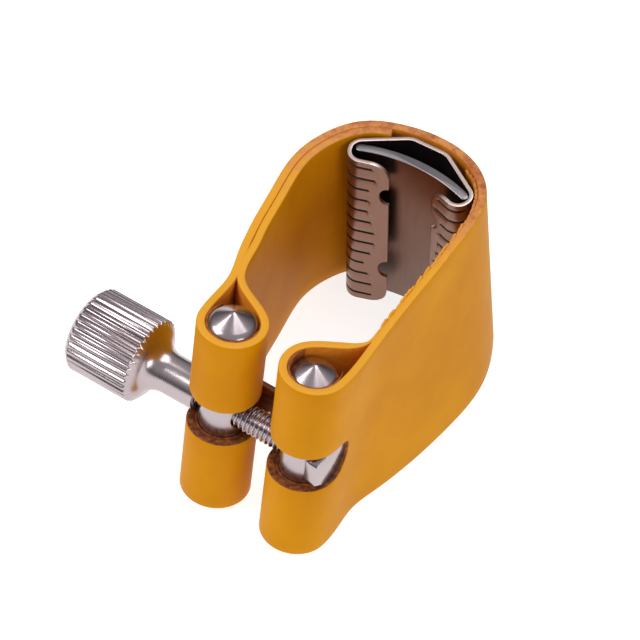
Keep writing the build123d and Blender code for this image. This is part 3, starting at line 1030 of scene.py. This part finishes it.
for k, t in enumerate(ticks):
    for bend_at, way in ((left_straight, -1), (right_start, 1)):
        reach = tick_reach + tick_change * cos(tick_wave * k)
        low_at, high_at = sorted((bend_at + way * reach, bend_at - way * tick_start))
        near = (columns_at > low_at) & (columns_at < high_at)
        rows = [j for j, h in enumerate(heights) if abs(h - t) < tick_half + 0.01]
        for j in rows:
            outward[near, j] -= tick_depth
        between = near[:-1] & near[1:]
        for j in range(min(rows) - 1, max(rows) + 1):
            marks[between, j] = True
outer = holder_grid + holder_out * outward[:, :, None]
inner = holder_grid - holder_out * sheet / 2

# Rolled sheet: cold rolled spring metal with a thin plate that keeps the rolling lines.
# It mirrors the leather round it, drawn out along the lines, and its brown tint is a
# painted reflection of that leather.
rolled, tree, shader = new_material("plated rolled sheet, painted leather reflection", "#8C6C5E", 0.27, metallic=1.0)
place = add_node(tree, "ShaderNodeTexCoord")
drawn = add_node(
    tree,
    "ShaderNodeMapping",
    {"Scale": (1.0, 1.0, 0.06)},
    {"Vector": place.outputs["Object"]},
)
lines = add_node(
    tree,
    "ShaderNodeTexNoise",
    {"Scale": per_mm(0.3), "Detail": 5.0},
    {"Vector": drawn.outputs["Vector"]},
)
line_range = add_node(
    tree,
    "ShaderNodeMapRange",
    {"To Min": 0.2, "To Max": 0.42},
    {"Value": lines.outputs["Fac"]},
)
tree.links.new(line_range.outputs["Result"], shader.inputs["Roughness"])
line_bump = add_node(
    tree,
    "ShaderNodeBump",
    {"Strength": 0.2, "Distance": 0.01 * MM},
    {"Height": lines.outputs["Fac"]},
)
tree.links.new(line_bump.outputs["Normal"], shader.inputs["Normal"])

# Sheared edge: the bare cut edge of the sheet, bright and slightly pink.
sheared, tree, shader = new_material("sheared sheet edge", "#D9C3BC", 0.35, metallic=1.0)
# Engraved line: the ticks, cut through the plate and darkened.
engraved, tree, shader = new_material("engraved line", "#1C0D08", 0.7)
# Blackened inside of the holder, where the plate is thin and oxide shows.
inside_sheet, tree, shader = new_material("oxidised sheet", "#3A3436", 0.45, metallic=0.9)

points, faces, kinds = sheet_mesh(outer, inner, marks=marks)
holder_skins = (rolled, inside_sheet, sheared, sheared, engraved)
holder = new_piece("channel_holder", points, faces, holder_skins, kinds)
finished(holder, edge=0.1, angle=60)
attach(holder, "root")
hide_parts("plate_holder")

# ---- reed plate ----
# A curved strip of thick plate that slides in the channels and bears on the reed. Its
# broad faces are as rolled, its two ends are brushed, and its long edges are round.
plate_half = 6.9
plate_thick = 1.1
plate_depth = 2.7
plate_sag = 1.25
plate_short = 0.35
bow_r = (plate_half**2 + plate_sag**2) / (2 * plate_sag)
bow_half = acos((bow_r - plate_sag) / bow_r)
bow_turns = np.linspace(-bow_half, bow_half, 41)
end_r = plate_thick / 2


def bow_arc(r):
    """Points of the bow at radius r, from its left end to its right end."""
    return [(r * sin(a), r * cos(a)) for a in bow_turns]


def round_edge(end):
    """Points round one long edge of the plate, from its outer face to its inner face."""
    out_x, out_y = sin(end * bow_half), cos(bow_half)
    on_x, on_y = end * cos(bow_half), -end * sin(end * bow_half)
    turns = np.radians(range(20, 180, 20))
    return [
        (
            bow_r * out_x + end_r * (cos(a) * out_x + sin(a) * on_x),
            bow_r * out_y + end_r * (cos(a) * out_y + sin(a) * on_y),
        )
        for a in turns
    ]


bow_outline = bow_arc(bow_r + end_r) + round_edge(1)
bow_outline += bow_arc(bow_r - end_r)[::-1] + round_edge(-1)[::-1]

# Brushed plate: the two sawn ends, rubbed flat on a belt and plated. Fine scratches
# across the thickness spread each highlight.
brushed, tree, shader = new_material("brushed nickel plate", "#918B8F", 0.3, metallic=1.0)
place = add_node(tree, "ShaderNodeTexCoord")
brush = add_node(
    tree,
    "ShaderNodeMapping",
    {"Scale": (1.0, 0.12, 1.0)},
    {"Vector": place.outputs["Object"]},
)
scratch = add_node(
    tree,
    "ShaderNodeTexNoise",
    {"Scale": per_mm(0.25), "Detail": 6.0},
    {"Vector": brush.outputs["Vector"]},
)
scratch_range = add_node(
    tree,
    "ShaderNodeMapRange",
    {"To Min": 0.22, "To Max": 0.5},
    {"Value": scratch.outputs["Fac"]},
)
tree.links.new(scratch_range.outputs["Result"], shader.inputs["Roughness"])
scratch_bump = add_node(
    tree,
    "ShaderNodeBump",
    {"Strength": 0.3, "Distance": 0.01 * MM},
    {"Height": scratch.outputs["Fac"]},
)
tree.links.new(scratch_bump.outputs["Normal"], shader.inputs["Normal"])

# Rolled face: the broad faces keep the rolled sheet's long lines, and their brown tint is a
# painted reflection of the leather round them.
plate_face, tree, shader = new_material("rolled plate face, painted leather reflection", "#76584B", 0.3, metallic=1.0)
place = add_node(tree, "ShaderNodeTexCoord")
drawn = add_node(
    tree,
    "ShaderNodeMapping",
    {"Scale": (1.0, 1.0, 0.08)},
    {"Vector": place.outputs["Object"]},
)
smear = add_node(
    tree,
    "ShaderNodeTexNoise",
    {"Scale": per_mm(0.4), "Detail": 5.0},
    {"Vector": drawn.outputs["Vector"]},
)
smear_range = add_node(
    tree,
    "ShaderNodeMapRange",
    {"To Min": 0.25, "To Max": 0.45},
    {"Value": smear.outputs["Fac"]},
)
tree.links.new(smear_range.outputs["Result"], shader.inputs["Roughness"])


def plate_point(x, y, t):
    """Point of the plate in place: x and y from the bow's centre, t up the holder."""
    return holder_point(x, y - plate_depth - bow_r, t)


points, faces = bar(bow_outline, plate_point, 0, holder_length - plate_short)
faces = [face[::-1] for face in faces]  # the outline runs clockwise
plate_kinds = [0, 0] + [1] * (len(faces) - 2)
plate = new_piece("sliding_reed_plate", points, faces, (brushed, plate_face), plate_kinds)
finished(plate, edge=0.12, angle=60)
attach(plate, "reed_plate")
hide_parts("reed_plate")

# ---- rivets ----
# Two plated rivets hold the holder to the strap's back: a low domed head outside, and
# a peened end inside the holder.
rivet_r = 1.1
rivet_head_r = 2.1
rivet_head = 0.45
rivet_stand = 0.3
rivet_pitch = 13.0
rivet_out = holder_back + rivet_stand
dome_turns = np.radians((8, 25, 45, 65, 85))
inner_head_r = rivet_head_r - rivet_head
rivet_in = -sheet / 2
rivet_profile = [
    *[(rivet_in - rivet_head * cos(a), inner_head_r * sin(a)) for a in dome_turns],
    (rivet_in, inner_head_r),
    (rivet_in, rivet_r),
    (rivet_out, rivet_r),
    (rivet_out, rivet_head_r),
    *[(rivet_out + rivet_head * cos(a), rivet_head_r * sin(a)) for a in dome_turns[::-1]],
]
rivet_points, rivet_faces = [], []
for t in (holder_length / 2 - rivet_pitch / 2, holder_length / 2 + rivet_pitch / 2):
    points, faces = spun(
        [x for x, r in rivet_profile],
        np.repeat([[r] for x, r in rivet_profile], 48, axis=1),
        holder_point(0, 0, t),
        holder_in,
        holder_right,
    )
    rivet_faces += [tuple(v + len(rivet_points) for v in face) for face in faces]
    rivet_points += list(points)
rivets = new_piece("domed_rivets", rivet_points, rivet_faces, (nickel,))
finished(rivets)
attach(rivets, "root")
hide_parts("holder_rivets")
